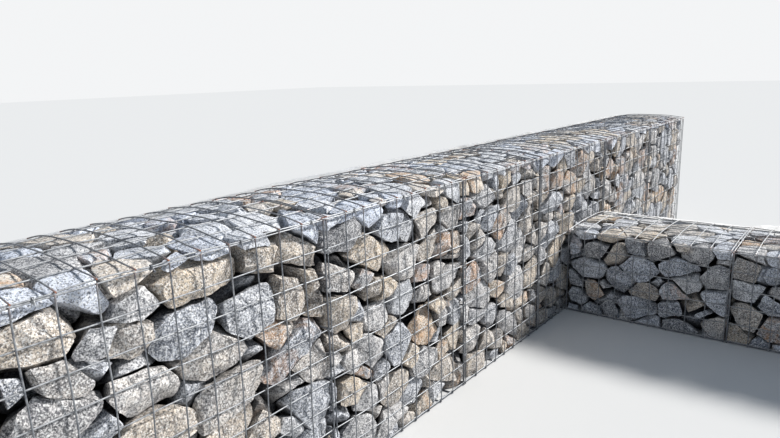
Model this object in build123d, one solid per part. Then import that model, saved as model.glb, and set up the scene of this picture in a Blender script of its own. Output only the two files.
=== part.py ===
from build123d import *
import os

# Welded mesh
mesh = 100.0            # side of one mesh square, wire centre to wire centre
wire = 5.0              # thickness of a panel wire
weld = 1.0              # how far a lid's cross wire sinks into the long wires it is welded to
tie_wire = 3.0          # thickness of a tie
seat = 0.3              # clearance between pieces that bear on each other

# Main wall, counted in mesh squares, one entry for each basket from the near end
main_squares_long = [14, 9, 8, 10, 10, 10]
main_squares_high = 10
main_squares_deep = 6
main_crown = 35.0       # rise of the lid over the heaped stone

# Return wall, standing against the front of the main wall
return_squares_long = [9, 9]
return_squares_high = 5
return_squares_deep = 6
return_crown = 22.0
return_basket = 4       # the main basket that the return stands against
return_after_squares = 4  # squares of that basket left clear before the return

# Joints, edges and liner
joint = 20.0            # spacing of the doubled edge wires where two baskets meet
lid_stub = 12.0         # overhang of the lid's cross wires past its front wire
stone_chamfer = 14.0    # broken corner of the stone along the top edges
crown_gap = 0.6         # clearance between heaped stone and lid
tie_every = 3           # squares from one tie to the next
liner_thick = 3.0
liner_drop = 150.0      # length of liner hanging behind the wall
liner_stand = 30.0      # liner standing above the back edge

stone_bottom = 2 * wire + seat


def bar(x_range, y_range, z_range):
    """A straight square bar or slab between the given limits."""
    (xa, xb), (ya, yb), (za, zb) = x_range, y_range, z_range
    middle = Pos((xa + xb) / 2, (ya + yb) / 2, (za + zb) / 2)
    return middle * Box(xb - xa, yb - ya, zb - za)


def welded(bars):
    """Bars fused where they cross, as one solid."""
    return bars[0] + bars[1:]


def flat_panel(columns, rows, below=wire / 2, above=wire / 2):
    """Rows along X on the inside, with columns along Y lying over them."""
    half = wire / 2
    left, right = columns[0] - half, columns[-1] + half
    bottom, top = rows[0] - below, rows[-1] + above
    bars = [bar((left, right), (y - half, y + half), (0, wire)) for y in rows]
    bars += [bar((x - half, x + half), (bottom, top), (wire, 2 * wire)) for x in columns]
    return welded(bars)


def ring(inner_x, inner_y):
    """A closed tie round a pair of wires, flat on XY with its corners bent."""
    outer_x, outer_y = inner_x + 2 * tie_wire, inner_y + 2 * tie_wire
    outer = Rectangle(outer_x, outer_y)
    outer = chamfer(outer.vertices(), tie_wire)
    return extrude(outer - Rectangle(inner_x, inner_y), tie_wire / 2, both=True)


class Run:
    """A straight run of baskets along X, with its front towards -Y and its stone from y = 0."""

    def __init__(self, squares_long, squares_high, squares_deep, crown):
        self.high, self.crown = squares_high, crown
        self.baskets = []
        start = 0.0
        for squares in squares_long:
            self.baskets.append((start, squares))
            start += squares * mesh + joint
        self.length = start - joint
        self.joints = [begin - joint / 2 for begin, squares in self.baskets[1:]]
        self.depth = squares_deep * mesh - wire - 2 * seat
        self.deep_lines = [k * mesh - wire / 2 - seat for k in range(squares_deep + 1)]
        spacing = (self.depth - wire) / squares_deep
        self.cross_columns = [wire / 2 + k * spacing for k in range(squares_deep + 1)]
        self.rows = [stone_bottom + wire / 2 + k * mesh for k in range(squares_high + 1)]
        self.top = self.rows[-1] + wire / 2

    def rise(self, y):
        """Height of the crowned lid above its edges."""
        across = (y - self.depth / 2) / (self.deep_lines[-1] - self.depth / 2)
        return self.crown * (1 - across * across)

    def columns(self, squares):
        return [k * mesh for k in range(squares + 1)]

    def upright(self, origin, along, outward, columns):
        """A standing panel from the ground to the top of the stone."""
        ground = self.rows[0]
        panel = flat_panel(columns, self.rows, below=ground)
        return Plane(origin=origin, x_dir=along, z_dir=outward).location * panel

    def stone(self, number):
        """The stone of one basket, heaped towards the middle and broken along its top edges."""
        begin, squares = self.baskets[number]
        at_joint = joint / 2 - wire - seat
        left = begin + (wire / 2 + seat if number == 0 else -at_joint)
        last = number == len(self.baskets) - 1
        right = begin + squares * mesh - (wire / 2 + seat if last else -at_joint)
        heap = [(y, self.top + self.rise(y) - crown_gap) for y in self.deep_lines[1:-1]]
        outline = [(0, stone_bottom), (self.depth, stone_bottom),
                   (self.depth, self.top - stone_chamfer), (self.depth - stone_chamfer, self.top)]
        outline += heap[::-1]
        outline += [(stone_chamfer, self.top), (0, self.top - stone_chamfer)]
        face = Plane.YZ.offset(left) * Polygon(*outline, align=None)
        return extrude(face, right - left)

    def front(self, number):
        begin, squares = self.baskets[number]
        return self.upright((begin, -seat, 0), (1, 0, 0), (0, -1, 0), self.columns(squares))

    def back(self, number):
        begin, squares = self.baskets[number]
        origin = (begin + squares * mesh, self.depth + seat, 0)
        return self.upright(origin, (-1, 0, 0), (0, 1, 0), self.columns(squares))

    def base(self, number):
        begin, squares = self.baskets[number]
        panel = flat_panel(self.columns(squares), [-y for y in self.deep_lines[::-1]])
        return Plane(origin=(begin, 0, 2 * wire), x_dir=(1, 0, 0), z_dir=(0, 0, -1)).location * panel

    def lid(self, number):
        """Long wires stepped up over the heap, with bent cross wires welded on top."""
        begin, squares = self.baskets[number]
        half = wire / 2
        levels = [self.top + seat + self.rise(y) for y in self.deep_lines]
        ends = (begin - half, begin + squares * mesh + half)
        bars = [bar(ends, (y - half, y + half), (z, z + wire)) for y, z in zip(self.deep_lines, levels)]
        under = [(y, z + wire - weld) for y, z in zip(self.deep_lines, levels)]
        front_end = (under[0][0] - lid_stub, under[0][1])
        back_end = (under[-1][0] + half, under[-1][1])
        under = [front_end] + under + [back_end]
        over = [(y, z + wire) for y, z in under]
        profile = Polygon(*under, *over[::-1], align=None)
        for x in self.columns(squares):
            bars.append(extrude(Plane.YZ.offset(begin + x - half) * profile, wire))
        return welded(bars)

    def end(self, far):
        """The panel that closes one end of the run."""
        if far:
            return self.upright((self.length - wire / 2, 0, 0), (0, 1, 0), (1, 0, 0), self.cross_columns)
        mirrored = [-y for y in self.cross_columns[::-1]]
        return self.upright((wire / 2, 0, 0), (0, -1, 0), (-1, 0, 0), mirrored)

    def partition(self, number):
        """The panel shared by two baskets, standing on the base panels inside the stone."""
        panel = flat_panel(self.cross_columns, self.rows)
        origin = (self.joints[number] - wire, 0, 0)
        return Plane(origin=origin, x_dir=(0, 1, 0), z_dir=(1, 0, 0)).location * panel

    def tied_squares(self, count):
        return [k + 0.5 for k in range(1, count, tie_every)]

    def joint_ties(self):
        """Ties round the doubled upright wires, those at the back only where the liner leaves room."""
        tie = ring(joint + wire + 2 * seat, wire + 2 * seat)
        ties = []
        for x in self.joints:
            for square in self.tied_squares(self.high):
                z = self.rows[0] + square * mesh
                ties.append(Pos(x, -seat - 1.5 * wire, z) * tie)
                if z + tie_wire < self.top - liner_drop:
                    ties.append(Pos(x, self.depth + seat + 1.5 * wire, z) * tie)
        return ties

    def lid_ties(self):
        """Ties round the lid's edge wire and the top wire below it, front and back."""
        tie = Plane.YZ.location * ring(wire + 2 * seat, 2 * wire + 3 * seat)
        ties = []
        for begin, squares in self.baskets:
            for square in self.tied_squares(squares):
                for y in (self.deep_lines[0], self.deep_lines[-1]):
                    ties.append(Pos(begin + square * mesh, y, self.top + seat / 2) * tie)
        return ties

    def liner(self):
        """The strip of felt that stands behind the back edge."""
        face = self.depth + 2 * wire + 2 * seat
        height = (self.top - liner_drop, self.top + liner_stand)
        return bar((-wire / 2, self.length + wire / 2), (face, face + liner_thick), height)


main = Run(main_squares_long, main_squares_high, main_squares_deep, main_crown)
side = Run(return_squares_long, return_squares_high, return_squares_deep, return_crown)

# The return runs towards -Y, its near end panel lined up on the main wall's front wires
return_x = main.baskets[return_basket - 1][0] + return_after_squares * mesh - wire / 2
return_y = -(2 * wire + seat) - seat - 1.5 * wire
return_place = Pos(return_x, return_y, 0) * Rot(0, 0, -90)


def on_return(shapes):
    return [return_place * shape for shape in shapes]


pieces = {}
for n in range(len(main.baskets)):
    pieces[f"stone_fill_{n + 1}"] = [main.stone(n)]
    pieces[f"front_mesh_{n + 1}"] = [main.front(n)]
    pieces[f"back_mesh_{n + 1}"] = [main.back(n)]
    pieces[f"lid_mesh_{n + 1}"] = [main.lid(n)]

half_run = len(main.baskets) // 2
pieces["base_mesh_near"] = [main.base(n) for n in range(half_run)]
pieces["base_mesh_far"] = [main.base(n) for n in range(half_run, len(main.baskets))]
pieces["partition_mesh"] = [main.partition(n) for n in range(len(main.joints))]
pieces["end_mesh_near"] = [main.end(far=False)]
pieces["end_mesh_far"] = [main.end(far=True)]
pieces["joint_ties"] = main.joint_ties()
pieces["lid_ties"] = main.lid_ties()
pieces["liner_main"] = [main.liner()]

for n in range(len(side.baskets)):
    pieces[f"return_stone_fill_{n + 1}"] = on_return([side.stone(n)])
    pieces[f"return_front_mesh_{n + 1}"] = on_return([side.front(n)])
    pieces[f"return_back_mesh_{n + 1}"] = on_return([side.back(n)])
    pieces[f"return_lid_mesh_{n + 1}"] = on_return([side.lid(n)])
pieces["return_base_mesh"] = on_return([side.base(n) for n in range(len(side.baskets))])
crosswise = [side.end(far=False), side.end(far=True)]
crosswise += [side.partition(n) for n in range(len(side.joints))]
pieces["return_cross_mesh"] = on_return(crosswise)
pieces["return_ties"] = on_return(side.joint_ties() + side.lid_ties())
pieces["liner_return"] = on_return([side.liner()])

# The origin is the bottom centre of the whole wall
whole = Compound(children=[Compound(shapes) for shapes in pieces.values()]).bounding_box()
to_origin = Pos(-whole.center().X, -whole.center().Y, -whole.min.Z)

os.makedirs("parts", exist_ok=True)
for name, shapes in pieces.items():
    placed = [to_origin * shape for shape in shapes]
    export_step(placed[0] if len(placed) == 1 else Compound(placed), f"parts/{name}.step")
print(len(pieces), "nodes", whole.size)
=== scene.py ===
import bpy
import bmesh
import random
import numpy as np
from math import atan2, cos, pi, radians, sin, tan
from mathutils import Matrix, Vector, noise
from numpy.linalg import norm


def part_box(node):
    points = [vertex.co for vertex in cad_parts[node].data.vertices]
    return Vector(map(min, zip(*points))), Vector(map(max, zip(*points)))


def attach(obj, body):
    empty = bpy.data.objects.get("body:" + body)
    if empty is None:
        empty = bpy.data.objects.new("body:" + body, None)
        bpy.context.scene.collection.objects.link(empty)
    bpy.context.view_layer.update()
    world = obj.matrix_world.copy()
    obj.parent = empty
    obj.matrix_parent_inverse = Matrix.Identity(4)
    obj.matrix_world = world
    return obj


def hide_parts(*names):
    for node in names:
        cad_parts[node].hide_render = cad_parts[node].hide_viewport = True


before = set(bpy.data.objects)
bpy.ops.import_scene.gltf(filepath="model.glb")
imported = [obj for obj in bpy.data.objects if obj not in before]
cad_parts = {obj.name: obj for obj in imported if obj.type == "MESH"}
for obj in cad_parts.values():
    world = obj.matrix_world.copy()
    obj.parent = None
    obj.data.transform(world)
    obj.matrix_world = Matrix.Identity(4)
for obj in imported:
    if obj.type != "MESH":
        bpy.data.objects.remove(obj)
from types import SimpleNamespace

scene = bpy.context.scene
scene.view_settings.view_transform = "Standard"
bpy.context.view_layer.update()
print("frame loaded")


def clamped(value, low=0, high=1):
    return min(max(value, low), high)


def addObject(name, data):
    thing = bpy.data.objects.new(name, data)
    scene.collection.objects.link(thing)
    return thing


def standFor(piece, node):
    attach(piece, "root")
    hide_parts(node)


def newMesh(name, points, edges, faces):
    mesh = bpy.data.meshes.new(name)
    mesh.from_pydata(points, edges, faces)
    return mesh


def setPointValues(mesh, label, values):
    mesh.attributes.new(label, "FLOAT", "POINT").data.foreach_set("value", values)


def shadeSmooth(mesh):
    for polygon in mesh.polygons:
        polygon.use_smooth = True


# Where the wall is, read off the frame

meshSquare = 0.1
seatGap = 0.0003        # clearance between pieces that bear on each other
weldSink = 0.001        # how far a lid's cross wires sink into its long wires
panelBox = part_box("front_mesh_1")
wireThick = (panelBox[1][1] - panelBox[0][1]) / 2       # a panel is two wires thick
halfWire = wireThick / 2
lidEdge = seatGap + halfWire        # a lid's edge wire, out from the face of the stone


def readRun(prefix, count, along, inward):
    stone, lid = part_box(prefix + "stone_fill_1"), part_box(prefix + "lid_mesh_1")
    meshes = [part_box(f"{prefix}front_mesh_{n + 1}") for n in range(count)]
    run = SimpleNamespace(prefix=prefix, along=Vector(along), inward=Vector(inward))
    deep = inward.index(1)
    long = 1 - deep
    run.origin = run.inward * stone[0][deep]
    run.depth = stone[1][deep] - stone[0][deep]
    spans = [sorted(corner[long] * along[long] for corner in box) for box in meshes]
    run.baskets = [(a + halfWire, b - halfWire) for a, b in spans]
    run.top = meshes[0][1][2]
    run.bottom = stone[0][2]
    run.crown = lid[1][2] - run.top - seatGap - 2 * wireThick + weldSink
    return run


mainRun = readRun("", 6, (1, 0, 0), (0, 1, 0))
sideRun = readRun("return_", 2, (0, -1, 0), (1, 0, 0))


def place(run, u, v, z):
    return run.origin + run.along * u + run.inward * v + Vector((0, 0, z))


# Camera, set out from the first joint

view = {
    "alongWall": -1.5448, "fromFace": -1.4944, "aboveTop": 0.4816,
    "heading": 51.848, "dip": 12.889, "roll": -1.689, "lens": 29.29,
}


def facing(heading, height):
    return Vector((sin(heading) * cos(height), cos(heading) * cos(height), sin(height)))


def addCamera():
    heading, dip, roll = (radians(view[k]) for k in ("heading", "dip", "roll"))
    forward = facing(heading, -dip)
    level = Vector((cos(heading), -sin(heading), 0))
    upright = level.cross(forward)
    right = level * cos(roll) + upright * sin(roll)
    up = right.cross(forward)
    turn = Matrix((right, up, -forward)).transposed().to_4x4()
    camera = addObject("camera", bpy.data.cameras.new("camera"))
    camera.data.lens = view["lens"]
    spot = place(mainRun, mainRun.baskets[1][0] + view["alongWall"],
                 view["fromFace"] - wireThick, mainRun.top + view["aboveTop"])
    camera.matrix_world = Matrix.Translation(spot) @ turn
    scene.camera = camera


addCamera()
print("camera set")


# Shape of the filled baskets: faces bulge a little, lids ride up over the stone

swell = {
    "front": 0.008, "frontLeast": 0.25, "frontWaves": (3.1, 3.7), "frontSeed": 5.5, "edgePower": 0.6,
    "lidUneven": 0.34, "lidWaves": (5.3, 6.1), "lidSeed": 31.7, "plateau": 2.4, "plateauBack": 4.0,
}


def waver(a, b, c):
    return noise.noise(Vector((a, b, c)))


def softNoise(a, b, c):
    return 0.5 + 0.5 * waver(a, b, c)


def edgeFade(t):
    return sin(pi * clamped(t)) ** swell["edgePower"]


def frontBulge(run, number, u, z):
    start, end = run.baskets[number]
    least, (along, upwards) = swell["frontLeast"], swell["frontWaves"]
    fade = edgeFade((u - start) / (end - start)) * edgeFade(z / run.top)
    wave = softNoise(u * along, z * upwards, number + swell["frontSeed"])
    return swell["front"] * fade * (least + (1 - least) * wave)


def lidLift(run, number, u, v):
    across = clamped(v / run.depth)
    power = swell["plateau" if across < 0.5 else "plateauBack"]
    crown = run.crown * (1 - abs(2 * across - 1) ** power)
    along, inwards = swell["lidWaves"]
    wave = softNoise(u * along, v * inwards, number + swell["lidSeed"])
    return crown * (1 - swell["lidUneven"] * wave)


# Stones: cells of a loose packing, each chipped, cut up finely and roughened

rock = {
    # size and lie, with other values on the return
    "widest": 0.084, "narrowest": 0.036, "sizes": 12, "triesPerSize": 470, "packing": 0.86, "most": 900,
    "longest": 2.0, "roundest": 1.05, "flattest": 1.5, "riseSpread": 0.30, "rollSpread": 0.40,
    "returnSize": 0.90, "returnLongest": 1.6, "returnGap": 0.0014,
    # joints between stones
    "neighbours": 34, "lean": 0.29 / 1.7, "leans": 4096, "gap": 0.0009, "gapSpread": 0.0115,
    "gapPower": 2.5,
    # how far stones stand back from the mesh
    "faceInset": 0.0025, "groundInset": 0.0015, "endInset": 0.0035, "jointReach": 0.004, "recess": 0.020,
    "lidRecess": 0.35, "recessPower": 3, "bulgeShare": 0.8, "slopeStep": 0.02,
    # facets on the outer faces, chipped corners
    "facets": (2, 2, 3, 3, 4), "facetTilt": 27, "lidTilt": 13, "tiltLeast": 0.25,
    "facetSlack": (-0.05, 0.55), "chips": 3, "chipLoose": 0.9, "corners": 2, "cornerLoose": 0.25,
    "chipDepth": (0.80, 0.97), "merges": (0.0022, 0.0022 / 3, 0.00002),
    # how finely the surface is cut up, by its depth behind the seen sides
    "cutRounds": 4, "cutOver": 1.4, "seenEdge": 0.0205, "sideEdge": 0.045, "hiddenEdge": 0.16,
    # the last value on the next line scales edge wear and the painted shade in hollows
    "seenDepth": 0.045, "sideDepth": 0.13, "soften": 0.22, "sharpAngle": 26, "wearAndShadeGain": 1.5,
    # limits at the wires and the ground
    "skin": 0.004, "clear": 0.0008, "lidClear": 0.0012, "lidReach": 0.045, "meanCrown": 0.8,
    # painted shade between the stones: darker the deeper a point lies behind the seen sides, scaled on the
    # lids
    "unshadedDepth": 0.020, "shadeReach": 0.050, "lidShadeShare": 0.40, "returnLidShadeShare": 1.9,
}
cutTouch, sameSpot, faceTouch = 1e-9, 1e-6, 1e-5        # how near counts as touching
leastFaces = 4      # what a solid needs


def stoneMetric(rng, width, longest):
    # a long flat ellipsoid, lying more or less on its bed
    heading = rng.uniform(0, pi)
    rise, roll = rng.gauss(0, rock["riseSpread"]), rng.gauss(0, rock["rollSpread"])
    axis = np.array((cos(heading) * cos(rise), sin(heading) * cos(rise), sin(rise)))
    up = np.array((0, 0, 1.0)) - axis[2] * axis
    up /= norm(up)
    flat = up * cos(roll) + np.cross(axis, up) * sin(roll)
    long = rng.uniform(1, longest)
    thin = rng.uniform(rock["roundest"], rock["flattest"])
    return (np.eye(3) + (1 / long ** 2 - 1) * np.outer(axis, axis)
            + (thin ** 2 - 1) * np.outer(flat, flat)) / width ** 2


def reachIn(metrics, away):
    return np.sqrt(np.einsum("ni,nij,nj->n", away, metrics, away))


def packSeeds(rng, run, low, high):
    most = rock["most"]
    spots, metrics, count = np.zeros((most, 3)), np.zeros((most, 3, 3)), 0
    widest = rock["widest"] * (rock["returnSize"] if run is sideRun else 1)
    longest = rock["returnLongest" if run is sideRun else "longest"]
    for width in np.linspace(widest, rock["narrowest"], rock["sizes"]):
        for _ in range(rock["triesPerSize"]):
            spot = np.array([rng.uniform(a, b) for a, b in zip(low, high)])
            metric = stoneMetric(rng, width, longest)
            if count:
                away = spots[:count] - spot
                theirs = reachIn(metrics[:count], away)
                mine = reachIn(np.broadcast_to(metric, (count, 3, 3)), away)
                if np.max(1 / theirs + 1 / mine) * rock["packing"] > 1:
                    continue
            spots[count], metrics[count] = spot, metric
            count += 1
    return spots[:count], metrics[:count]


def jointPlanes(index, spots, metrics, leans):
    # one leaning plane between this stone and each of its neighbours, the same from both sides
    others = np.array([k for k in range(len(spots)) if k != index])
    away = spots[others] - spots[index]
    mine = reachIn(np.broadcast_to(metrics[index], (len(others), 3, 3)), away)
    theirs = reachIn(metrics[others], away)
    contact = spots[index] + away * (theirs / (mine + theirs))[:, None]
    volume = np.linalg.det(metrics) ** (-1 / 3)
    mixed = metrics[index] * volume[index] + metrics[others] * volume[others][:, None, None]
    normal = np.einsum("nij,nj->ni", mixed, away)
    normal /= norm(normal, axis=1)[:, None]
    side = np.where(others > index, 1.0, -1.0)
    # any fixed rule that gives each pair of stones its own lean
    pair = (np.minimum(others, index) * 613 + np.maximum(others, index) * 89) % len(leans)
    normal += leans[pair] * side[:, None]
    normal /= norm(normal, axis=1)[:, None]
    reach = np.einsum("ni,ni->n", normal, contact)
    near = np.argsort(reach - normal @ spots[index])[:rock["neighbours"]]
    return [(tuple(map(float, normal[k])), float(reach[k])) for k in near]


def boxSolid(low, high):
    x, y, z = zip(low, high)
    corner = [(x[i & 1], y[i >> 1 & 1], z[i >> 2 & 1]) for i in range(8)]
    sides = ((0, 2, 3, 1), (4, 5, 7, 6), (0, 1, 5, 4), (2, 6, 7, 3), (0, 4, 6, 2), (1, 3, 7, 5))
    return [[corner[i] for i in side] for side in sides]


def cutSolid(faces, normal, limit):
    nx, ny, nz = normal
    kept, rim = [], []
    for face in faces:
        over = [p[0] * nx + p[1] * ny + p[2] * nz - limit for p in face]
        if max(over) <= cutTouch:
            kept.append(face)
            continue
        trimmed = []
        for i, p in enumerate(face):
            q, dq, dp = face[i - 1], over[i - 1], over[i]
            if (dp > 0) != (dq > 0):
                t = dq / (dq - dp)
                crossing = tuple(a + t * (b - a) for a, b in zip(q, p))
                trimmed.append(crossing)
                rim.append(crossing)
            if dp <= 0:
                trimmed.append(p)
        if len(trimmed) > 2:
            kept.append(trimmed)
    if len(rim) > 2:
        kept.append(ringOrder(rim, Vector(normal)))
    return kept


def ringOrder(rim, normal):
    middle = Vector([sum(p[k] for p in rim) / len(rim) for k in range(3)])
    a = normal.orthogonal().normalized()
    b = normal.cross(a)

    def around(p):
        return atan2((Vector(p) - middle).dot(b), (Vector(p) - middle).dot(a))

    turned = sorted(rim, key=around)
    ring = [turned[0]]
    for p in turned[1:]:
        if (Vector(p) - Vector(ring[-1])).length > sameSpot:
            ring.append(p)
    if len(ring) > 3 and (Vector(ring[0]) - Vector(ring[-1])).length < sameSpot:
        ring.pop()
    return ring


def tilted(rng, normal, degrees):
    side = normal.orthogonal().normalized()
    side.rotate(Matrix.Rotation(rng.uniform(0, 2 * pi), 3, normal))
    return (normal + side * tan(radians(degrees))).normalized()


def cornersOf(faces):
    return np.array([p for face in faces for p in face])


def faceDown(rng, faces, normal, reach, steepest):
    # breaks the flat face that lies against the mesh into tilted facets
    corners = cornersOf(faces)
    touching = corners[corners @ np.array(normal) > reach - faceTouch]
    if len(touching) < 3:
        return faces
    middle = touching.mean(axis=0)
    size = norm(touching - middle, axis=1).mean()
    for _ in range(rng.choice(rock["facets"])):
        angle = rng.uniform(rock["tiltLeast"], 1) * steepest
        lean = tilted(rng, normal, angle)
        slack = rng.uniform(*rock["facetSlack"]) * size * sin(radians(angle))
        faces = cutSolid(faces, lean, float(np.dot(lean, middle)) + slack)
    return faces


def breakCorners(rng, faces):
    corners = cornersOf(faces)
    middle = corners.mean(axis=0)
    for k in range(rock["chips"] + rock["corners"]):
        pick = corners[rng.randrange(len(corners))] - middle
        loose = rock["chipLoose" if k < rock["chips"] else "cornerLoose"]
        away = Vector(pick) + Vector([rng.gauss(0, loose) for _ in range(3)]) * norm(pick)
        away.normalize()
        reach = float(np.max((corners - middle) @ np.array(away)))
        depth = reach * rng.uniform(*rock["chipDepth"])
        faces = cutSolid(faces, away, float(np.dot(away, middle)) + depth)
    return faces


def makeStone(rng, run, number, spot, planes, low, high, openSides):
    faces = boxSolid(low, high)
    gap = rock["gap"] + rng.random() ** rock["gapPower"] * rock["gapSpread"]
    if run is sideRun:
        gap += rock["returnGap"]
    for normal, reach in planes:
        faces = cutSolid(faces, normal, reach - gap)
        if len(faces) < leastFaces:
            return []
    u, v, z = spot
    step = rock["slopeStep"]
    slopes = [(lidLift(run, number, u + du, v + dv) - lidLift(run, number, u - du, v - dv)) / (2 * step)
              for du, dv in ((step, 0), (0, step))]
    lidNormal = Vector((-slopes[0], -slopes[1], 1)).normalized()
    lidSpot = Vector((u, v, run.top + lidLift(run, number, u, v) - rock["faceInset"]))
    sides = [(lidNormal, lidNormal.dot(lidSpot))]
    for normal, reach in openSides:
        bulge = rock["bulgeShare"] * frontBulge(run, number, u, z) if normal[1] < 0 else 0
        sides.append((Vector(normal), reach + bulge))
    for normal, reach in sides:
        recess, tilt = (rock["lidRecess"], "lidTilt") if normal is lidNormal else (1, "facetTilt")
        reach -= rng.random() ** rock["recessPower"] * rock["recess"] * recess
        faces = cutSolid(faces, normal, reach)
        if len(faces) < leastFaces:
            return []
        faces = faceDown(rng, faces, normal, reach, rock[tilt])
    return breakCorners(rng, faces)


# by place: share of warm stones, how cool and how warm the others may be, and painted top light: stones under
# the lids are drawn lighter and cooler, as painted skylight
stoneMix = {
    "front": (0.47, -0.25, 0.34, 0), "lid": (0.26, -0.85, 0.0, 0.86),
    "return_front": (0.30, -0.55, 0.25, 0), "return_lid": (0.46, -0.5, 0.25, 0.86),
    "warmLeast": 0.35, "rustyShare": 0.14, "rustLeast": 0.6, "toneSpread": (2.2, 1.9), "shift": 3,
}


def stoneCharacter(rng, share, cool, mild, paintedTopLight):
    warm = rng.uniform(stoneMix["warmLeast"], 1) if rng.random() < share else rng.uniform(cool, mild)
    rust = rng.uniform(stoneMix["rustLeast"], 1) if rng.random() < stoneMix["rustyShare"] else 0
    return Vector((rng.betavariate(*stoneMix["toneSpread"]) + paintedTopLight, warm, rust))


def stoneRings(faces, corners, merge):
    # faces as rings of corner numbers, with corners that lie very close together made one
    apart = norm(corners[:, None] - corners[None], axis=2)
    picks = np.argmax(apart < merge, axis=1)
    for _ in range(4):      # follows corners that merge in a chain
        picks = picks[picks]
    rings, at = [], 0
    for face in faces:
        ring = list(dict.fromkeys(picks[at:at + len(face)].tolist()))
        at += len(face)
        if len(ring) > 2:
            rings.append(ring)
    return rings


def isClosed(rings):
    # every edge belongs to two faces, and no two faces meet anywhere else
    edges, together = set(), {}
    for ring in rings:
        edges.update((min(a, b), max(a, b)) for a, b in zip(ring, ring[1:] + ring[:1]))
        for k, a in enumerate(ring):
            for b in ring[k + 1:]:
                pair = (min(a, b), max(a, b))
                together[pair] = together.get(pair, 0) + 1
    return all(count == (2 if pair in edges else 1) for pair, count in together.items())


def closedRings(faces, corners):
    for merge in rock["merges"]:
        rings = stoneRings(faces, corners, merge)
        if isClosed(rings):
            return rings
    return []


def inRun(run, spot):
    away = spot - run.origin
    return away.dot(run.along), away.dot(run.inward), spot.z


def depthInside(run, openSides, spot, lidShare=1):
    # how far a point lies behind the nearest side that can be seen
    local = Vector(inRun(run, spot))
    across = clamped(local.y / run.depth)
    lid = run.top + run.crown * (rock["meanCrown"] - (2 * across - 1) ** 2) - spot.z
    return min([lid * lidShare] + [reach - Vector(normal).dot(local) for normal, reach in openSides])


rough = {
    "scoop": 0.0115, "scoopScale": 17, "scoopMost": 0.9, "scoopLevel": 0.24,
    "ridge": 0.0050, "ridgeScale": 15, "ridgeSlope": 2.1, "ridgeLevel": 0.07,
    "grain": 0.0026, "grainScale": 52, "grainLevel": 0.2, "shiftShare": 7, "lidShare": 0.5,
}


def breakSurface(spot):
    # scoops that meet in ridges, over a rougher and a finer break
    scoop = min(noise.voronoi(spot * rough["scoopScale"])[0][0], rough["scoopMost"])
    ridge = abs(noise.noise(spot * rough["ridgeScale"])) * rough["ridgeSlope"]
    grain = noise.noise(spot * rough["grainScale"])
    return (rough["scoop"] * (scoop ** 2 - rough["scoopLevel"])
            + rough["ridge"] * (rough["ridgeLevel"] - ridge)
            + rough["grain"] * (grain - rough["grainLevel"]))


def cutUp(bm, run, openSides):
    for _ in range(rock["cutRounds"]):
        depths = {vert: depthInside(run, openSides, vert.co) for vert in bm.verts}
        edges = []
        for edge in bm.edges:
            depth = min(depths[edge.verts[0]], depths[edge.verts[1]])
            limit = rock["seenEdge" if depth < rock["seenDepth"] else
                               "sideEdge" if depth < rock["sideDepth"] else "hiddenEdge"]
            if edge.calc_length() > limit * rock["cutOver"]:
                edges.append(edge)
        if not edges:
            break
        bmesh.ops.subdivide_edges(bm, edges=edges, cuts=1, use_grid_fill=True, use_single_edge=True)
        bmesh.ops.triangulate(bm, faces=[f for f in bm.faces if len(f.verts) > 3])


def finishStones(bm, name, run, number, openSides):
    cutUp(bm, run, openSides)
    bmesh.ops.recalc_face_normals(bm, faces=bm.faces)
    bmesh.ops.smooth_vert(bm, verts=bm.verts, factor=rock["soften"],
                          use_axis_x=True, use_axis_y=True, use_axis_z=True)
    shift = bm.verts.layers.float_vector["stoneShift"]
    bm.normal_update()
    lidLevel = run.top - rock["skin"]
    moves = [vert.normal * breakSurface(vert.co + vert[shift] * rough["shiftShare"])
             * (rough["lidShare"] if vert.co.z > lidLevel else 1) for vert in bm.verts]
    for vert, move in zip(bm.verts, moves):
        vert.co += move
        keepInside(vert, run, number)
    mesh = bpy.data.meshes.new(name)
    bm.to_mesh(mesh)
    bm.free()
    shadeSmooth(mesh)
    mesh.set_sharp_from_angle(angle=radians(rock["sharpAngle"]))
    markEdges(mesh)
    # painted shade: stones darken towards black the deeper they lie behind the seen sides, less so under the
    # main lid
    lidShare = rock["returnLidShadeShare" if run is sideRun else "lidShadeShare"]
    depths = [depthInside(run, openSides, vert.co, lidShare) for vert in mesh.vertices]
    shadeBetweenStones = [clamped((depth - rock["unshadedDepth"]) / rock["shadeReach"]) for depth in depths]
    setPointValues(mesh, "shadeBetweenStones", shadeBetweenStones)
    return mesh


def keepInside(vert, run, number):
    u, v, z = inRun(run, vert.co)
    skin, clear = rock["skin"], rock["clear"]
    if v < skin:
        over = -v - (frontBulge(run, number, u, z) - clear)
        if over > 0:
            vert.co += run.inward * over
    elif v > run.depth - clear:
        vert.co -= run.inward * (v - run.depth + clear)
    if z > run.top - skin:
        over = z - (run.top + lidLift(run, number, u, v) - rock["lidClear"])
        if over > 0:
            vert.co.z -= over
    vert.co.z = max(vert.co.z, clear)


def readOut(items, label, width, kind=float):
    values = np.zeros(len(items) * width, kind)
    items.foreach_get(label, values)
    return values.reshape(-1, width)


def markEdges(mesh):
    # convex edges get a positive value, hollows a negative one; the material lightens convex edges as wear
    # and darkens hollows as painted shade
    count = len(mesh.vertices)
    spots, normals = readOut(mesh.vertices, "co", 3), readOut(mesh.vertices, "normal", 3)
    pairs = readOut(mesh.edges, "vertices", 2, np.int32)
    total, hits = np.zeros(count), np.zeros(count)
    for a, b in ((0, 1), (1, 0)):
        here, there = pairs[:, a], pairs[:, b]
        away = spots[here] - spots[there]
        away /= np.maximum(norm(away, axis=1), cutTouch)[:, None]
        np.add.at(total, here, np.einsum("ni,ni->n", normals[here], away))
        np.add.at(hits, here, 1)
    wearAndShade = total / np.maximum(hits, 1) * rock["wearAndShadeGain"]
    setPointValues(mesh, "wearAndHollowShade", np.clip(wearAndShade, -1, 1))


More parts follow.
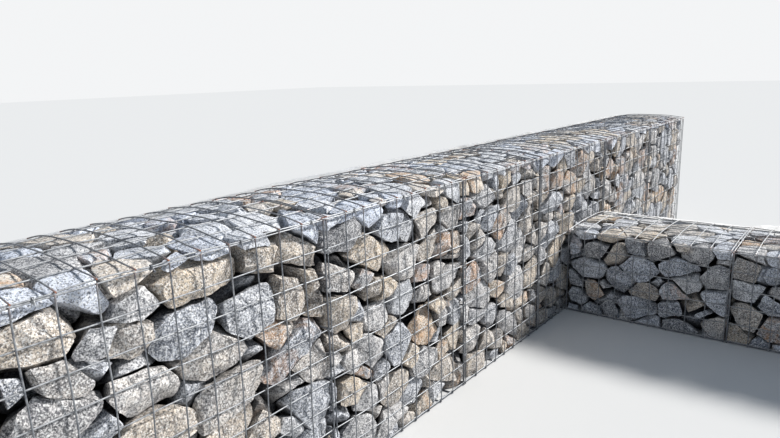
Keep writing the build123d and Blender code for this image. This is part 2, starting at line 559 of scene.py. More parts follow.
def fillBasket(run, number, seed):
    rng = random.Random(seed)
    start, end = run.baskets[number]
    last = len(run.baskets) - 1
    inset, reach = rock["endInset"], rock["jointReach"]
    low = [start + (inset if number == 0 else -reach), rock["faceInset"], rock["groundInset"]]
    high = [end - (inset if number == last else -reach), run.depth - rock["faceInset"], run.top + run.crown]
    openSides = [((0, -1, 0), -low[1]), ((0, 1, 0), high[1])]
    if number == 0 and run is mainRun:
        openSides.append(((-1, 0, 0), -low[0]))
    if number == last:
        openSides.append(((1, 0, 0), high[0]))
    spots, metrics = packSeeds(rng, run, low, high)
    leans = np.random.default_rng(seed).normal(0, rock["lean"], (rock["leans"], 3))
    bm = bmesh.new()
    code = bm.verts.layers.float_vector.new("stoneCode")
    shift = bm.verts.layers.float_vector.new("stoneShift")
    wide = [low[0], low[1] - swell["front"], low[2]]
    for index, spot in enumerate(spots):
        planes = jointPlanes(index, spots, metrics, leans)
        faces = makeStone(rng, run, number, spot, planes, wide, high, openSides)
        if len(faces) < leastFaces:
            continue
        # stones under the lid get painted skylight: drawn lighter and cooler
        side = "lid" if spot[2] > run.top - rock["lidReach"] else "front"
        character = stoneCharacter(rng, *stoneMix[run.prefix + side])
        offset = Vector([rng.uniform(-stoneMix["shift"], stoneMix["shift"]) for _ in range(3)])
        corners = cornersOf(faces)
        rings = closedRings(faces, corners)
        known = {}
        for pick in sorted({pick for ring in rings for pick in ring}):
            known[pick] = bm.verts.new(place(run, *map(float, corners[pick])))
            known[pick][code] = character
            known[pick][shift] = offset
        for ring in rings:
            bm.faces.new([known[pick] for pick in ring])
    bmesh.ops.triangulate(bm, faces=bm.faces)
    name = f"{run.prefix}stones_{number + 1}"
    stones = addObject(name, finishStones(bm, name, run, number, openSides))
    stones.data.materials.append(graniteMaterial)
    standFor(stones, f"{run.prefix}stone_fill_{number + 1}")
    print("stones", name, len(spots), "cells", len(stones.data.polygons), "triangles")
    return len(stones.data.polygons)


# Shader nodes, and the groups that the materials share

def isSocket(source):
    return hasattr(source, "is_output")


def feed(node, inputs):
    for label, source in inputs.items():
        if isSocket(source):
            source.id_data.links.new(source, node.inputs[label])
        else:
            node.inputs[label].default_value = source


def addNode(tree, kind, inputs, **settings):
    node = tree.nodes.new("ShaderNode" + kind)
    for label, value in settings.items():
        setattr(node, label, value)
    feed(node, inputs)
    return node


def newGroup(name, inputs):
    group = bpy.data.node_groups.new(name, "ShaderNodeTree")
    sockets = group.interface
    sockets.new_socket("Vector", in_out="INPUT", socket_type="NodeSocketVector")
    for label, value in inputs.items():
        sockets.new_socket(label, in_out="INPUT", socket_type="NodeSocketFloat").default_value = value
    for label, kind in (("Color", "Color"), ("Roughness", "Float"), ("Height", "Float")):
        sockets.new_socket(label, in_out="OUTPUT", socket_type="NodeSocket" + kind)
    return group, group.nodes.new("NodeGroupInput").outputs, group.nodes.new("NodeGroupOutput")


def noiseAt(vector, scale, detail, roughness, distortion=0.0):
    return addNode(vector.id_data, "TexNoise", {
        "Vector": vector, "Scale": scale, "Detail": detail, "Roughness": roughness, "Distortion": distortion})


def levelsOf(where, values, labels):
    return [noiseAt(where, *values[label]).outputs[0] for label in labels]


def remap(value, low, high, toLow=0.0, toHigh=1.0):
    return addNode(value.id_data, "MapRange", {
        "Value": value, "From Min": low, "From Max": high, "To Min": toLow, "To Max": toHigh}).outputs[0]


def mixColor(factor, first, second, mode="MIX"):
    # a Mix node has its colors at inputs 6 and 7 and at output 2
    first, second = (color if isSocket(color) else (*color, 1.0) for color in (first, second))
    tree = (factor if isSocket(factor) else first).id_data
    inputs = {0: factor, 6: first, 7: second}
    return addNode(tree, "Mix", inputs, data_type="RGBA", blend_type=mode).outputs[2]


def mathNode(operation, first, second):
    return addNode(first.id_data, "Math", {0: first, 1: second}, operation=operation).outputs[0]


def times(first, second):
    return mathNode("MULTIPLY", first, second)


def plus(first, second):
    return mathNode("ADD", first, second)


def atLeast(value, least):
    return mathNode("MAXIMUM", value, least)


def heldInRange(value):
    return mathNode("MINIMUM", atLeast(value, 0.0), 1.0)


# noises are (scale, detail, roughness, distortion), ranges (from, to, result at from, result at to)
graniteLook = {
    "patches": (12.0, 6.0, 0.62, 0.8), "patchesTone": (0.36, 0.64, -0.10, 0.34),
    "mottle": (62.0, 5.0, 0.74), "mottleTone": (0.38, 0.62, -0.25, 0.28),
    "flecks": (135.0, 3.0, 0.7), "flecksTone": (0.38, 0.62, -0.44, 0.44),
    "salt": (300.0, 3.0, 0.8), "saltTone": (0.36, 0.64, -0.55, 0.55),
    "stain": (8.0, 5.0, 0.7, 1.2), "stainReach": (0.44, 0.60), "fine": (110.0, 6.0, 0.75),
    "patchesWarmth": (0.3, 0.6, 0.5, 1.0), "roughness": (0.3, 0.7, 0.95, 0.74),
    "whiteGrains": (0.74, 0.84, 0.0, 0.58), "blackGrains": (0.74, 0.84, 0.0, 0.68),
    # the share on the next line lightens convex edges as wear and darkens hollows as painted shade; the shade
    # share after it paints shade deep between the stones
    "speckleScale": 260.0, "stir": 0.0055, "toneShare": 0.54, "wearAndShadeShare": 0.40, "beigeShare": 0.30,
    "ochreShare": 0.70, "shadeBetweenShare": 0.86, "chipScale": 48.0, "mottleHeight": 0.8, "fineHeight": 0.45,
    "chipHeight": 0.25, "bump": (0.85, 0.0050), "specular": 0.3,
}
stoneColors = {
    "dark": (0.112, 0.124, 0.150), "light": (0.77, 0.785, 0.82), "white": (0.92, 0.92, 0.91),
    # black: the black grains, and the painted shade deep between the stones
    "black": (0.022, 0.024, 0.030), "beige": (0.70, 0.55, 0.40), "ochre": (0.56, 0.28, 0.10),
    "tan": (1.0, 0.84, 0.63), "cool": (0.90, 0.97, 1.10),
}


def graniteGroup():
    values = graniteLook
    group, given, result = newGroup("brokenGranite", {
        # sockets include edge wear with painted shade in hollows, and painted shade between the stones
        "Tone": 0.5, "Warm": 0.0, "Rust": 0.0, "Wear And Hollow Shade": 0.0, "Shade Between Stones": 0.0,
        "Speckle Scale": values["speckleScale"]})
    where = given["Vector"]
    noises = {label: noiseAt(where, *values[label])
              for label in ("patches", "mottle", "flecks", "salt", "stain", "fine")}
    level = {label: node.outputs[0] for label, node in noises.items()}
    body = times(given["Tone"], values["toneShare"])
    for label in ("patches", "mottle", "flecks", "salt"):
        body = plus(body, remap(level[label], *values[label + "Tone"]))
    # edge wear lightens convex edges, painted shade darkens hollows
    body = heldInRange(plus(body, times(given["Wear And Hollow Shade"], values["wearAndShadeShare"])))
    color = mixColor(body, stoneColors["dark"], stoneColors["light"])
    cool = atLeast(times(given["Warm"], -1.0), 0.0)
    warm = times(atLeast(given["Warm"], 0.0), remap(level["patches"], *values["patchesWarmth"]))
    for mask, tint in ((cool, "cool"), (warm, "tan")):
        color = mixColor(mask, color, mixColor(1.0, color, stoneColors[tint], "MULTIPLY"))
    color = mixColor(times(warm, values["beigeShare"]), color, stoneColors["beige"])
    rusty = times(given["Rust"], remap(level["stain"], *values["stainReach"]))
    color = mixColor(rusty, color, mixColor(values["ochreShare"], color, stoneColors["ochre"]))
    # grains of uneven shape: the cells' own place is stirred by the salt noise
    stirred = addNode(group, "VectorMath", {
        0: noises["salt"].outputs["Color"], 1: (values["stir"],) * 3, 2: where}, operation="MULTIPLY_ADD")
    grains = addNode(group, "TexVoronoi", {"Scale": given["Speckle Scale"], "Vector": stirred.outputs[0]})
    split = addNode(group, "SeparateColor", {0: grains.outputs["Color"]})
    for output, tint in zip(split.outputs, ("white", "black")):
        color = mixColor(remap(output, *values[tint + "Grains"]), color, stoneColors[tint])
    # painted shade: darkens towards black with depth between the stones
    color = mixColor(times(given["Shade Between Stones"], values["shadeBetweenShare"]), color, stoneColors["black"])
    chips = addNode(group, "TexVoronoi", {"Scale": values["chipScale"], "Vector": where})
    height = plus(times(level["mottle"], values["mottleHeight"]), times(level["fine"], values["fineHeight"]))
    height = plus(height, times(chips.outputs["Distance"], values["chipHeight"]))
    roughness = remap(level["mottle"], *values["roughness"])
    feed(result, {"Color": color, "Roughness": roughness, "Height": height})
    return group


def startMaterial(name):
    material = bpy.data.materials.new(name)
    material.use_nodes = True
    return material, material.node_tree


def objectSpot(tree):
    return tree.nodes.new("ShaderNodeTexCoord").outputs["Object"]


def attribute(tree, name, output="Fac"):
    return addNode(tree, "Attribute", {}, attribute_name=name).outputs[output]


def dressShader(tree, inputs):
    feed(tree.nodes["Principled BSDF"], inputs)


def dressByGroup(tree, group, inputs, bump, others):
    made = addNode(tree, "Group", inputs, node_tree=group).outputs
    dressShader(tree, {"Base Color": made["Color"], "Roughness": made["Roughness"],
                       "Normal": bumped(made["Height"], *bump), **others})


def bumped(height, strength, distance):
    inputs = {"Height": height, "Strength": strength, "Distance": distance}
    return addNode(height.id_data, "Bump", inputs).outputs["Normal"]


def makeGranite():
    material, tree = startMaterial("granite")
    moved = addNode(tree, "VectorMath", {0: objectSpot(tree), 1: attribute(tree, "stoneShift", "Vector")})
    code = addNode(tree, "SeparateXYZ", {0: attribute(tree, "stoneCode", "Vector")}).outputs
    dressByGroup(tree, graniteGroup(), {
        "Vector": moved.outputs[0], "Tone": code[0], "Warm": code[1], "Rust": code[2],
        # edge wear with painted shade in hollows, and painted shade between the stones
        "Wear And Hollow Shade": attribute(tree, "wearAndHollowShade"), "Shade Between Stones": attribute(tree, "shadeBetweenStones"),
    }, graniteLook["bump"], {"Specular IOR Level": graniteLook["specular"]})
    return material


zincLook = {
    "bloom": (90.0, 4.0, 0.7), "bloomTone": (0.35, 0.68, -0.28, 0.28), "roughness": (0.3, 0.7, 0.34, 0.58),
    "clouds": (6.0, 3.0, 0.5), "cloudsTone": (0.35, 0.7, 0.12, -0.12),
    "specks": (300.0, 3.0, 0.7), "specksRust": (0.25, 0.5), "bump": (0.3, 0.0006),
    "dull": (0.10, 0.110, 0.130), "bright": (0.53, 0.545, 0.56), "rust": (0.50, 0.15, 0.04),
}


def zincGroup():
    values = zincLook
    group, given, result = newGroup("weatheredZinc", {"Rust": 0.0, "Tone": 0.5})
    bloom, clouds, specks = levelsOf(given["Vector"], values, ("bloom", "clouds", "specks"))
    # the tone carries painted light and shade by the way each wire lies
    body = plus(given["Tone"], remap(bloom, *values["bloomTone"]))
    body = plus(body, remap(clouds, *values["cloudsTone"]))
    color = mixColor(heldInRange(body), values["dull"], values["bright"])
    rusty = times(given["Rust"], remap(specks, *values["specksRust"]))
    color = mixColor(rusty, color, values["rust"])
    feed(result, {"Color": color, "Roughness": remap(bloom, *values["roughness"]), "Height": specks})
    return group


weatheredZinc = zincGroup()


def makeZinc(name, metallic):
    material, tree = startMaterial(name)
    dressByGroup(tree, weatheredZinc, {
        # wire tone: painted light and shade by the way each wire lies, with a random spread
        "Vector": objectSpot(tree), "Rust": attribute(tree, "rustyEnd"), "Tone": attribute(tree, "wireToneAndLight"),
    }, zincLook["bump"], {"Metallic": metallic})
    return material


feltLook = {
    "fibres": (420.0, 5.0, 0.75, 0.8), "fibresTone": (0.35, 0.68), "roughness": (0.3, 0.7, 1.0, 0.85),
    "clouds": (16.0, 4.0, 0.6), "stains": (0.50, 0.76, 0.0, 0.5), "soiling": (0.34, 0.60, 0.12, 0.62),
    "low": (0.72, 0.72, 0.70), "high": (0.90, 0.90, 0.89), "soil": (0.38, 0.345, 0.285),
    "bump": (0.6, 0.0015), "lightThrough": 0.9, "lightReach": 0.02,
}


def makeFelt():
    values = feltLook
    material, tree = startMaterial("needledFelt")
    spot = objectSpot(tree)
    fibres, clouds = levelsOf(spot, values, ("fibres", "clouds"))
    color = mixColor(remap(fibres, *values["fibresTone"]), values["low"], values["high"])
    soiled = times(attribute(tree, "soiled"), remap(clouds, *values["soiling"]))
    soiled = plus(remap(clouds, *values["stains"]), soiled)
    dressShader(tree, {
        "Base Color": mixColor(soiled, color, values["soil"]),
        "Roughness": remap(fibres, *values["roughness"]),
        "Subsurface Weight": values["lightThrough"], "Subsurface Scale": values["lightReach"],
        "Subsurface Radius": (1, 1, 1), "Normal": bumped(fibres, *values["bump"])})
    return material


graniteMaterial = makeGranite()
zincMaterial = makeZinc("zincWire", 0.45)
tieMaterial = makeZinc("zincTie", 0.5)
feltMaterial = makeFelt()
print("materials made")


# Welded mesh: guide lines in, round wire out

wire = {
    "radius": 0.0025, "sides": 6, "step": 0.0334, "tieEvery": 3,
    # how wires stray from their places, and how doubled wires lean together
    "wander": 0.0075, "groundFade": 0.08, "endFade": 0.1, "topFade": 0.05,
    "pull": 0.0012, "pullMore": 0.0026, "pullReach": 0.07,
    # how lids part from the panels between their ties
    "lidParts": 0.011, "partsReach": 0.13, "lidFade": 0.06, "lidSink": 0.0005, "crossLayer": 1.45,
    "stub": 0.0115, "stubDroop": 0.003,
    # zinc tone with painted light and shade: across wires lighter, uprights and the main lid's cross wires
    # darker, the return's cross wires lighter; a random spread; and rust
    "acrossPaintedLight": 0.44, "upPaintedShade": 0.27, "overPaintedShade": 0.20, "returnOverPaintedLight": 0.56, "toneSpread": 0.18,
    "rustyReach": 0.0065, "rustFall": 0.6, "upRust": 0.2, "lidRust": 0.6, "endRust": 0.4, "endTopRust": 0.7,
    "tipRust": 1, "returnTipRust": 0.35, "backTipShare": 0.8,
}


def wireTree():
    tree = bpy.data.node_groups.new("roundWire", "GeometryNodeTree")
    for label, kind in (("Geometry", "Geometry"), ("Wire Radius", "Float"), ("Sides", "Int"),
                        ("Finish", "Material")):
        tree.interface.new_socket(label, in_out="INPUT", socket_type="NodeSocket" + kind)
    tree.interface.new_socket("Geometry", in_out="OUTPUT", socket_type="NodeSocketGeometry")
    entry, result = tree.nodes.new("NodeGroupInput"), tree.nodes.new("NodeGroupOutput")
    circle, line, sweep, smooth, realize, finish = (
        tree.nodes.new("GeometryNode" + kind) for kind in
        ("CurvePrimitiveCircle", "MeshToCurve", "CurveToMesh", "SetShadeSmooth", "RealizeInstances",
         "SetMaterial"))
    sweep.inputs["Fill Caps"].default_value = True
    chain = (entry, line, sweep, smooth, realize, finish, result)
    for source, target in zip(chain, chain[1:]):
        tree.links.new(source.outputs[0], target.inputs[0])
    for source, output, target, socket in (
            (entry, "Sides", circle, "Resolution"), (entry, "Wire Radius", circle, "Radius"),
            (circle, "Curve", sweep, "Profile Curve"), (entry, "Finish", finish, "Material")):
        tree.links.new(source.outputs[output], target.inputs[socket])
    return tree


roundWire = wireTree()


def guideMesh(name, lines):
    # lines: (points, rust at start, rust at end, how bright the zinc is drawn, with painted light and shade
    # by the way the wire lies)
    points, edges, rusty, tones = [], [], [], []
    reach, fall = wire["rustyReach"], wire["rustFall"]
    for line, rustyStart, rustyEnd, tone in lines:
        base = len(points)
        tone += wire["toneSpread"] * noise.noise(line[0] * 9)
        if rustyStart:
            line = [line[0], line[0] + (line[1] - line[0]).normalized() * reach] + line[1:]
        if rustyEnd:
            line = line[:-1] + [line[-1] + (line[-2] - line[-1]).normalized() * reach, line[-1]]
        for i, p in enumerate(line):
            points.append(p)
            fromStart, fromEnd = (p - line[0]).length, (p - line[-1]).length
            rusty.append(max(rustyStart * (1 - fall * fromStart / reach) if i < 2 else 0,
                             rustyEnd * (1 - fall * fromEnd / reach) if i > len(line) - 3 else 0))
            tones.append(tone)
            if i:
                edges.append((base + i - 1, base + i))
    mesh = newMesh(name, points, edges, [])
    setPointValues(mesh, "rustyEnd", rusty)
    setPointValues(mesh, "wireToneAndLight", tones)
    return mesh


def sweepWires(name, lines, node, slot, setup, finish):
    source = addObject(name + "Guide", guideMesh(name, lines))
    modifier = source.modifiers.new("shape", "NODES")
    modifier.node_group = roundWire
    values = {"Wire Radius": setup["radius"], "Sides": setup["sides"], "Finish": finish}
    for item in roundWire.interface.items_tree:
        if item.name in values:
            modifier[item.identifier] = values[item.name]
    graph = bpy.context.evaluated_depsgraph_get()
    shape = source.evaluated_get(graph)
    mesh = bpy.data.meshes.new_from_object(shape, preserve_all_data_layers=True, depsgraph=graph)
    bpy.data.objects.remove(source)
    mesh.name = name
    piece = addObject(name, mesh)
    standFor(piece, node)
    print(slot, name, len(lines), "lines", len(piece.data.polygons), "faces")


def meshWires(name, lines, node):
    sweepWires(name, lines, node, "wire", wire, zincMaterial)


def spread(start, end, count):
    return [start + (end - start) * k / count for k in range(count + 1)]


def steps(start, end):
    return spread(start, end, max(2, round(abs(end - start) / wire["step"])))


def gridLines(start, end):
    return spread(start, end, round((end - start) / meshSquare))


def rowHeights(run):
    count = round((run.top - run.bottom - wireThick) / meshSquare)
    return [run.bottom + halfWire + k * meshSquare for k in range(count + 1)]


def tiedSquares(count):
    return [k + 0.5 for k in range(1, count, wire["tieEvery"])]


def tiedPlaces(start, end):
    return [start + square * meshSquare for square in tiedSquares(round((end - start) / meshSquare))]


def drift(run, number, u, z):
    # how far a wire stands from its place in the plane of its panel
    seed = number + (7.3 if run is sideRun else 0)
    stray = wire["wander"] * clamped(z / wire["groundFade"])
    return (stray * waver(u * 2.4, z * 3.1, 4.4 + seed),
            stray * waver(u * 3.3, z * 2.2, 17.1 + seed))


def fromEnds(u, start, end):
    return clamped(min(u - start, end - u) / wire["endFade"])


def fromTop(run, z):
    return clamped((run.top - z) / wire["topFade"])


def edgePull(run, number, u, z):
    # doubled upright wires lean towards each other where two baskets meet
    start, end = run.baskets[number]
    pull = wire["pull"] + wire["pullMore"] * softNoise(u * 1.3, z * 7.0, 2.2)
    near = far = 0
    if number > 0:
        near = max(0, 1 - (u - start) / wire["pullReach"]) * -pull
    if number < len(run.baskets) - 1:
        far = max(0, 1 - (end - u) / wire["pullReach"]) * pull
    return near + far


# across wires are drawn lighter, upright wires darker: painted light and shade
def acrossLines(spot, layer, start, end, places, rust):
    return [([spot(u, there, layer) for u in steps(start, end)], rust, rust, wire["acrossPaintedLight"])
            for there in places]


def uprightLines(spot, layer, low, high, places, rust):
    return [([spot(u, z, layer) for z in steps(low, high)], 0, rust, wire["upPaintedShade"]) for u in places]


def faceWires(run, number, back):
    start, end = run.baskets[number]
    face, out, side = (run.depth, 1, "back") if back else (0, -1, "front")

    def spot(u, z, layer):
        bulge = 0 if back else frontBulge(run, number, u, z)
        shiftU, shiftZ = drift(run, number, u, z)
        shiftU = shiftU * fromEnds(u, start, end) + edgePull(run, number, u, z)
        shiftZ *= fromTop(run, z)
        return place(run, u + shiftU, face + out * (seatGap + layer * wireThick + bulge), z + shiftZ)

    lines = acrossLines(spot, 0.5, start - halfWire, end + halfWire, rowHeights(run), 0)
    lines += uprightLines(spot, 1.5, halfWire, run.top, gridLines(start, end), wire["upRust"])
    meshWires(f"{run.prefix}{side}Wires_{number + 1}", lines, f"{run.prefix}{side}_mesh_{number + 1}")


def lidEdgeRise(run, number, u, v):
    # between its ties the lid's edge wire stands a little clear of the panel below
    start, end = run.baskets[number]
    nearest = min(abs(u - tied) for tied in tiedPlaces(start, end))
    parted = 0.5 - 0.5 * cos(pi * min(nearest / wire["partsReach"], 1))
    toEdge = 1
    if 0 < v < run.depth:
        toEdge = max(0, 1 - min(v, run.depth - v) / wire["lidFade"])
    seed = 3.3 if v < run.depth / 2 else 8.8
    return wire["lidParts"] * parted * toEdge * softNoise(u * 4.1, seed, number)


def lidWires(run, number, seed):
    rng = random.Random(seed)
    start, end = run.baskets[number]
    base = run.top + seatGap

    def spot(u, v, layer):
        shiftU, shiftV = drift(run, number + 20, u, v + 0.5)
        shiftV *= clamped(min(v, run.depth - v) / wire["lidFade"])
        lift = lidLift(run, number, u, v) + lidEdgeRise(run, number, u, v)
        return place(run, u + shiftU * fromEnds(u, start, end) + edgePull(run, number, u, v + 0.3),
                     v + shiftV, base + layer * wireThick + lift - wire["lidSink"])

    onReturn = run is sideRun
    tipRust = wire["returnTipRust" if onReturn else "tipRust"]
    # painted shade on the main lid's cross wires, painted light on the return's
    tone = wire["returnOverPaintedLight" if onReturn else "overPaintedShade"]
    lines = acrossLines(spot, 0.5, start - halfWire, end + halfWire,
                        gridLines(-lidEdge, run.depth + lidEdge), wire["lidRust"])
    for u in gridLines(start, end):
        near = -lidEdge - wire["stub"] * rng.uniform(0.5, 1)
        line = [spot(u, v, wire["crossLayer"]) for v in steps(near, run.depth + lidEdge + halfWire)]
        line[0].z -= rng.uniform(0, wire["stubDroop"])
        lines.append((line, tipRust * rng.uniform(0.35, 1), wire["backTipShare"] * tipRust, tone))
    meshWires(f"{run.prefix}lidWires_{number + 1}", lines, f"{run.prefix}lid_mesh_{number + 1}")


def crossPanel(run, edge, outward, seed, ground):
    def spot(v, z, layer):
        shiftV, shiftZ = drift(run, seed, v, z)
        inner = fromEnds(v, 0, run.depth)
        shiftZ *= fromTop(run, z) * inner
        return place(run, edge + outward * layer * wireThick, v + shiftV * inner, z + shiftZ)

    uprights = gridLines(halfWire, run.depth - halfWire)
    return (acrossLines(spot, 0, 0, run.depth, rowHeights(run), wire["endRust"])
            + uprightLines(spot, 1, ground, run.top, uprights, wire["endTopRust"]))


def endPanel(run, far):
    if far:
        return crossPanel(run, run.baskets[-1][1], 1, 41, halfWire)
    return crossPanel(run, run.baskets[0][0], -1, 40, halfWire)


# Ties: two turns of thin wire round a pair, with the ends twisted together

tie = {
    "radius": 0.0014, "sides": 5, "turns": 2, "perTurn": 12, "pitch": 0.0032, "play": 0.0003, "tone": 0.45,
    "tail": 0.016, "tailLeast": 0.6, "tailTwist": 0.0015, "tailStep": 0.0022, "tailTurn": 1.3,
    "tailStray": 0.15, "feltClear": 0.16, "extraEvery": 3, "extraStray": 0.12,
}


def twistedTie(rng, middle, axis, wide, deep, halfWide, halfDeep, tailWay):
    # wide and deep span the loop, axis is the way of the wires that it holds
    turns, perTurn, stray = tie["turns"], tie["perTurn"], tie["tailStray"]
    count = turns * perTurn
    halfWide, halfDeep = (half + tie["play"] + tie["radius"] for half in (halfWide, halfDeep))
    loop = []
    for k in range(count + 1):
        angle = 2 * pi * k / perTurn + pi / 2
        c, s = cos(angle), sin(angle)
        size = (c ** 4 + s ** 4) ** -0.25       # between a circle and a square
        along = (k / count - 0.5) * turns * tie["pitch"]
        loop.append(middle + wide * (c * size * halfWide) + deep * (s * size * halfDeep) + axis * along)
    knot = (loop[0] + loop[-1]) / 2
    tailWay = (tailWay + Vector([rng.uniform(-stray, stray) for _ in range(3)])).normalized()
    across = tailWay.orthogonal().normalized()
    other = tailWay.cross(across)
    length = tie["tail"] * rng.uniform(tie["tailLeast"], 1)
    tails = []
    for phase in (0, pi):
        tail = []
        for k in range(1, 2 + int(length / tie["tailStep"])):
            turn = tie["tailTurn"] * k + phase
            tail.append(knot + tailWay * (k * tie["tailStep"])
                        + (across * cos(turn) + other * sin(turn)) * tie["tailTwist"])
        tails.append(tail)
    return (tails[0][::-1] + loop + tails[1], 0, 0, tie["tone"])


up = Vector((0, 0, 1))


def jointTieLines(run, rng):
    lines = []
    low = rowHeights(run)[0]
    squares = round((run.top - low) / meshSquare)
    stray = tie["extraStray"]
    for number, (start, end) in enumerate(run.baskets[1:], 1):
        middle = start - (start - run.baskets[number - 1][1]) / 2
        extra = [k + rng.uniform(-stray, stray) for k in range(3, squares, tie["extraEvery"])]
        for square in tiedSquares(squares) + extra:
            z = low + square * meshSquare
            pair = start - middle + edgePull(run, number, start, z) + halfWire
            for back in (False, True):
                if back and z > run.top - tie["feltClear"]:
                    continue
                bulge = 0 if back else frontBulge(run, number, start, z)
                v = run.depth + seatGap + 1.5 * wireThick if back else -seatGap - 1.5 * wireThick - bulge
                face = run.inward if back else -run.inward
                way = -up + run.along * rng.uniform(-0.5, 0.5)
                spot = place(run, middle, v, z)
                lines.append(twistedTie(rng, spot, up, run.along, face, pair, halfWire, way))
    return lines


def lidTieLines(run, rng):
    lines = []
    for start, end in run.baskets:
        for u in tiedPlaces(start, end):
            for back in (False, True):
                spot = place(run, u, run.depth + lidEdge if back else -lidEdge, run.top + seatGap / 2)
                face = run.inward if back else -run.inward
                if back:
                    way = run.along + face * 0.1
                else:
                    way = face * 0.7 - up + run.along * rng.uniform(-0.6, 0.6)
                lines.append(twistedTie(rng, spot, run.along, up, face, wireThick + seatGap, halfWire, way))
    return lines


# Felt: a ragged strip behind the back edge, its top edge turned towards the lid

feltForm = {
    "thick": 0.0024, "drop": 0.15, "stand": 0.038, "standLeast": 0.62, "column": 0.02, "rowsDown": 11,
    "wave": 0.004, "inwards": 0.0002, "hem": 0.004, "ragged": 0.002, "raggedShare": 0.3,
    "curl": 0.010, "curlRows": 2.2, "crumple": 0.005, "returnCrumple": 0.016, "wireClear": 0.008,
    "cleanBelow": 0.02, "soilReach": 0.07,
}

# how high the felt stands along each run: (distance from the near end, share of the full height)
feltHeights = {"": ((0, 0.30), (1.1, 0.36), (1.7, 0.90), (6.3, 0.95)),
               "return_": ((0, 0.45), (0.86, 0.40), (1.0, 1.15), (1.9, 1.15))}


def feltShare(run, u):
    spots, shares = zip(*feltHeights[run.prefix])
    return float(np.interp(u - run.baskets[0][0], spots, shares))


def feltStrip(run, name, node, seed):
    values = feltForm
    first, last = run.baskets[0][0] - halfWire, run.baskets[-1][1] + halfWire
    columns, rows = round((last - first) / values["column"]), values["rowsDown"]
    behind = run.depth + 2 * wireThick + 2 * seatGap + values["thick"] / 2
    folds = values["returnCrumple" if run is sideRun else "crumple"]
    least, edge = values["standLeast"], run.top + values["wireClear"]
    points, faces = [], []
    for i in range(columns + 1):
        u = first + (last - first) * i / columns
        share = feltShare(run, u)
        ragged = values["ragged"] + values["raggedShare"] * folds * share
        stand = (values["stand"] * share * (least + (1 - least) * softNoise(u * 4.6, seed, 1.5))
                 + ragged * waver(u * 33, seed, 0))
        hem = values["hem"] * waver(u * 31, seed, 9)
        for k in range(rows + 1):
            down = k / rows
            z = run.top + stand + (hem - stand - values["drop"]) * down
            wave = values["wave"] * waver(u * 7, down * 1.3, seed + 3)
            curl = values["curl"] * max(0, 1 - k / values["curlRows"]) * softNoise(u * 3.7, seed, 6.5)
            fold = folds * share * share * waver(u * 15, z * 40, seed + 6)
            v = (behind + max(wave, -values["inwards"])
                 + (fold - curl) * clamped((z - edge) / values["wireClear"]))
            points.append(place(run, u, v, z))
            if i and k:
                a = i * (rows + 1) + k
                faces.append((a, a - 1, a - rows - 2, a - rows - 1))
    mesh = newMesh(name, points, [], faces)
    # the part that the earth behind has touched
    soil = [clamped((run.top - values["cleanBelow"] - p.z) / values["soilReach"]) for p in points]
    setPointValues(mesh, "soiled", soil)
    piece = addObject(name, mesh)
    solid = piece.modifiers.new("thickness", "SOLIDIFY")
    solid.thickness = values["thick"]
    solid.offset = 0
    smooth = piece.modifiers.new("softness", "SUBSURF")
    smooth.levels = smooth.render_levels = 1
    mesh.materials.append(feltMaterial)
    shadeSmooth(mesh)
    standFor(piece, node)
    print("felt", name)


total = 0
for run, stoneSeed, lidSeed in ((mainRun, 100, 300), (sideRun, 200, 400)):
    for number in range(len(run.baskets)):
        total += fillBasket(run, number, stoneSeed + number)
        faceWires(run, number, False)
        faceWires(run, number, True)
        lidWires(run, number, lidSeed + number)
meshWires("nearEndWires", endPanel(mainRun, False), "end_mesh_near")
meshWires("farEndWires", endPanel(mainRun, True), "end_mesh_far")
sideJoint = (sideRun.baskets[0][1] + sideRun.baskets[1][0]) / 2
meshWires("returnCrossWires", endPanel(sideRun, False) + endPanel(sideRun, True)
          + crossPanel(sideRun, sideJoint - halfWire, 1, 43, sideRun.bottom), "return_cross_mesh")
print("stone triangles", total)

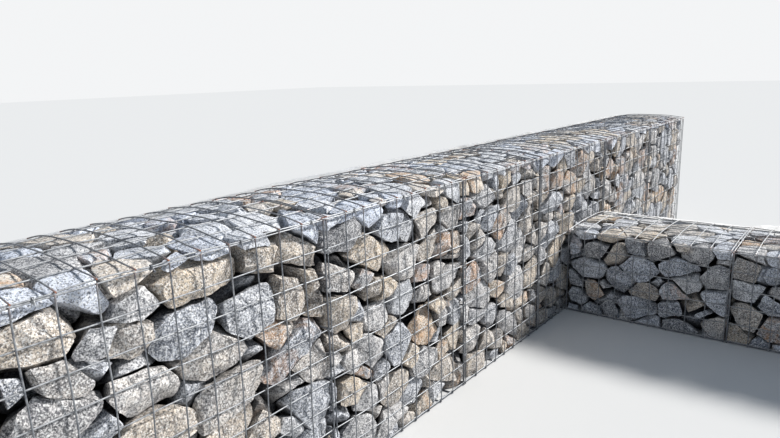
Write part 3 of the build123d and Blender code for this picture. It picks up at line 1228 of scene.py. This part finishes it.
tieRandom = random.Random(77)
for name, lines, node in (
        ("jointTies", jointTieLines(mainRun, tieRandom), "joint_ties"),
        ("lidTies", lidTieLines(mainRun, tieRandom), "lid_ties"),
        ("returnTies", jointTieLines(sideRun, tieRandom) + lidTieLines(sideRun, tieRandom), "return_ties")):
    sweepWires(name, lines, node, "tie", tie, tieMaterial)
feltStrip(mainRun, "mainFelt", "liner_main", 12.5)
feltStrip(sideRun, "returnFelt", "liner_return", 21.5)

for name in ("base_mesh_near", "base_mesh_far", "partition_mesh", "return_base_mesh"):
    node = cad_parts[name]
    node.data.materials.clear()
    node.data.materials.append(zincMaterial)


# Floor and light

light = {
    "sky": 0.325, "skyColor": (0.70, 0.83, 1.0, 1), "backdrop": (0.90, 0.91, 0.92, 1),
    "sun": 5.68, "sunColor": (1.0, 0.98, 0.95), "sunSoftness": 9, "sunHeading": 122, "sunHeight": 31.5,
    "floor": (0.705, 0.705, 0.70, 1), "floorReach": 60, "floorRoughness": 0.9,
}


def addStage():
    reach = light["floorReach"]
    corners = [(-reach, -reach, 0), (reach, -reach, 0), (reach, reach, 0), (-reach, reach, 0)]
    mesh = newMesh("floor", corners, [], [(0, 1, 2, 3)])
    floor = addObject("floor", mesh)
    material, tree = startMaterial("paleFloor")
    dressShader(tree, {"Base Color": light["floor"], "Roughness": light["floorRoughness"],
                       "Specular IOR Level": 0})
    mesh.materials.append(material)


def addSky():
    world = bpy.data.worlds.new("sky")
    world.use_nodes = True
    scene.world = world
    tree = world.node_tree
    dome = tree.nodes["Background"]
    feed(dome, {"Color": light["skyColor"], "Strength": light["sky"]})
    backdrop = addNode(tree, "Background", {"Color": light["backdrop"], "Strength": 1})
    path = tree.nodes.new("ShaderNodeLightPath").outputs
    seen = atLeast(atLeast(path["Is Camera Ray"], path["Is Transmission Ray"]), path["Is Glossy Ray"])
    mix = addNode(tree, "MixShader", {0: seen, 1: dome.outputs[0], 2: backdrop.outputs[0]})
    tree.links.new(mix.outputs[0], tree.nodes["World Output"].inputs["Surface"])


def addSun():
    sun = addObject("sun", bpy.data.lights.new("sun", "SUN"))
    sun.data.energy = light["sun"]
    sun.data.angle = radians(light["sunSoftness"])
    sun.data.color = light["sunColor"]
    towards = facing(radians(light["sunHeading"]), radians(light["sunHeight"]))
    sun.rotation_euler = towards.to_track_quat("Z", "Y").to_euler()


addSky()
addSun()
addStage()
print("stage set")
